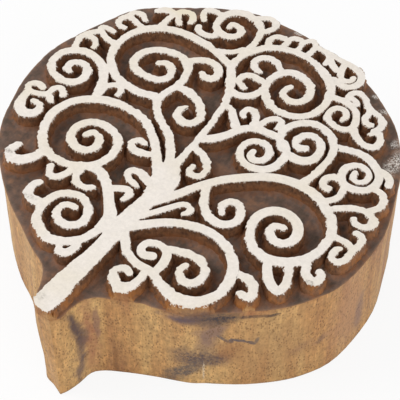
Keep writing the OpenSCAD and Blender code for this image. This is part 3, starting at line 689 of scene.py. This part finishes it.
streakShare = add(tree, "ShaderNodeMapRange", {"Value": streaks, "From Min": 0.36, "From Max": 0.64})
side = add(tree, "ShaderNodeMix", {
    0: streakShare, 6: hexColour(chalkLook["sideDark"]), 7: hexColour(chalkLook["sidePale"])},
    out=2, data_type="RGBA")
scraped = add(tree, "ShaderNodeTexNoise", {
    "Vector": place, "Scale": pitch(chalkLook["scrapes"]), "Detail": 4.0, "Roughness": 0.65})
scraping = add(tree, "ShaderNodeMapRange", {"Value": scraped, "From Min": 0.42, "From Max": 0.58, "To Min": 0.15})
# painted highlight and fresh wood: lighter orange-brown towards the foot of each ridge
foot = add(tree, "ShaderNodeMapRange", {
    "Value": height, "From Min": groundZ - 1.0 * mm, "From Max": groundZ + 2.2 * mm, "To Min": 1.0, "To Max": 0.0})
rim = add(tree, "ShaderNodeAttribute", out=2, attribute_name="wallGap")
nearWall = add(tree, "ShaderNodeMapRange", {
    "Value": rim, "From Min": 0.4, "From Max": 4.0, "To Min": 0.85, "To Max": 0.0})
for share, tint in ((foot, chalkLook["footHighlightAndFreshWood"]), (nearWall, chalkLook["thinStain"])):
    uneven = add(tree, "ShaderNodeMath", {0: share, 1: scraping}, operation="MULTIPLY")
    side = add(tree, "ShaderNodeMix", {0: uneven, 6: side, 7: hexColour(tint)}, out=2, data_type="RGBA")

# an end that was sawn off shows the wall's wood, with the marks that reach up to it
highMarks = [mark for mark in wallMarks if mark[0][2] + 0.8 * mark[1][2] > groundZ / mm]
sawnColour = sawnWood(tree, highMarks)[0]
sawn = add(tree, "ShaderNodeAttribute", out=2, attribute_name="sawn")
sawnShare = add(tree, "ShaderNodeMapRange", {"Value": sawn, "From Min": 0.5, "From Max": 0.95})
side = add(tree, "ShaderNodeMix", {0: sawnShare, 6: side, 7: sawnColour}, out=2, data_type="RGBA")
colour = add(tree, "ShaderNodeMix", {0: coat, 6: side, 7: coatColour}, out=2, data_type="RGBA")
rough = add(tree, "ShaderNodeMapRange", {
    "Value": coat, "To Min": chalkLook["sideRough"], "To Max": chalkLook["coatRough"]})
bumpHeight = add(tree, "ShaderNodeMix", {0: coat, 2: streaks, 3: speck}, data_type="FLOAT")
finish(tree, colour, rough, chalkLook["gloss"], bumpHeight, 0.5)

for piece in ridges:
    piece.data.materials.append(chalk)
body.data.materials.clear()
body.data.materials.append(sheesham)
body.data.materials.append(stained)
for face in body.data.polygons:
    face.material_index = 1 if face.normal.z > 0.5 and face.center.z > groundZ - 3 * mm else 0
print("materials set")


# 1 for the rays that show the background: from the camera, in a gloss or through glass
def shownRays(tree):
    rays = add(tree, "ShaderNodeLightPath").node.outputs
    shown = rays["Is Camera Ray"]
    for name in ("Is Glossy Ray", "Is Transmission Ray"):
        shown = add(tree, "ShaderNodeMath", {0: shown, 1: rays[name]}, operation="MAXIMUM")
    return shown


# pale paper under the stamp, and soft light
studio = {
    "paper": "F2F2F2",
    "paperGlow": 0.88,   # share of the paper's white that shadows don't reach
    "skyLight": 0.62,    # what the white surroundings give the object
    "lamps": {
        "softKey": {"place": (-0.5, -0.25, 0.65), "size": 0.5, "power": 3.2},
        "softFill": {"place": (0.8, -0.35, 0.45), "size": 0.7, "power": 2.6},
    },
}

bpy.ops.object.select_all(action="DESELECT")
bpy.ops.mesh.primitive_plane_add(size=4, location=(0, 0, 0))
floor = bpy.context.object
floor.name = "paleFloor"
pale, tree = newMaterial("palePaper")
share = add(tree, "ShaderNodeMath", {0: shownRays(tree), 1: studio["paperGlow"]}, operation="MULTIPLY")
paper = add(tree, "ShaderNodeBsdfDiffuse", {"Color": hexColour(studio["paper"])})
glow = add(tree, "ShaderNodeEmission", {"Color": (1, 1, 1, 1), "Strength": 1.0})
surface = add(tree, "ShaderNodeMixShader", {0: share, 1: paper, 2: glow})
tree.links.new(surface, tree.nodes.new("ShaderNodeOutputMaterial").inputs[0])
floor.data.materials.append(pale)

world = bpy.data.worlds.new("studio")
bpy.context.scene.world = world
world.use_nodes = True
tree = world.node_tree
tree.nodes.clear()
level = add(tree, "ShaderNodeMapRange", {"Value": shownRays(tree), "To Min": studio["skyLight"], "To Max": 1.0})
sky = add(tree, "ShaderNodeBackground", {"Color": (1, 1, 1, 1), "Strength": level})
tree.links.new(sky, tree.nodes.new("ShaderNodeOutputWorld").inputs[0])

for name, settings in studio["lamps"].items():
    lamp = bpy.data.objects.new(name, bpy.data.lights.new(name, "AREA"))
    bpy.context.scene.collection.objects.link(lamp)
    lamp.location = settings["place"]
    lamp.rotation_euler = (-Vector(settings["place"])).to_track_quat("-Z", "Y").to_euler()
    lamp.data.size = settings["size"]
    lamp.data.energy = settings["power"]
bpy.context.scene.view_settings.view_transform = "Standard"
print("light set")
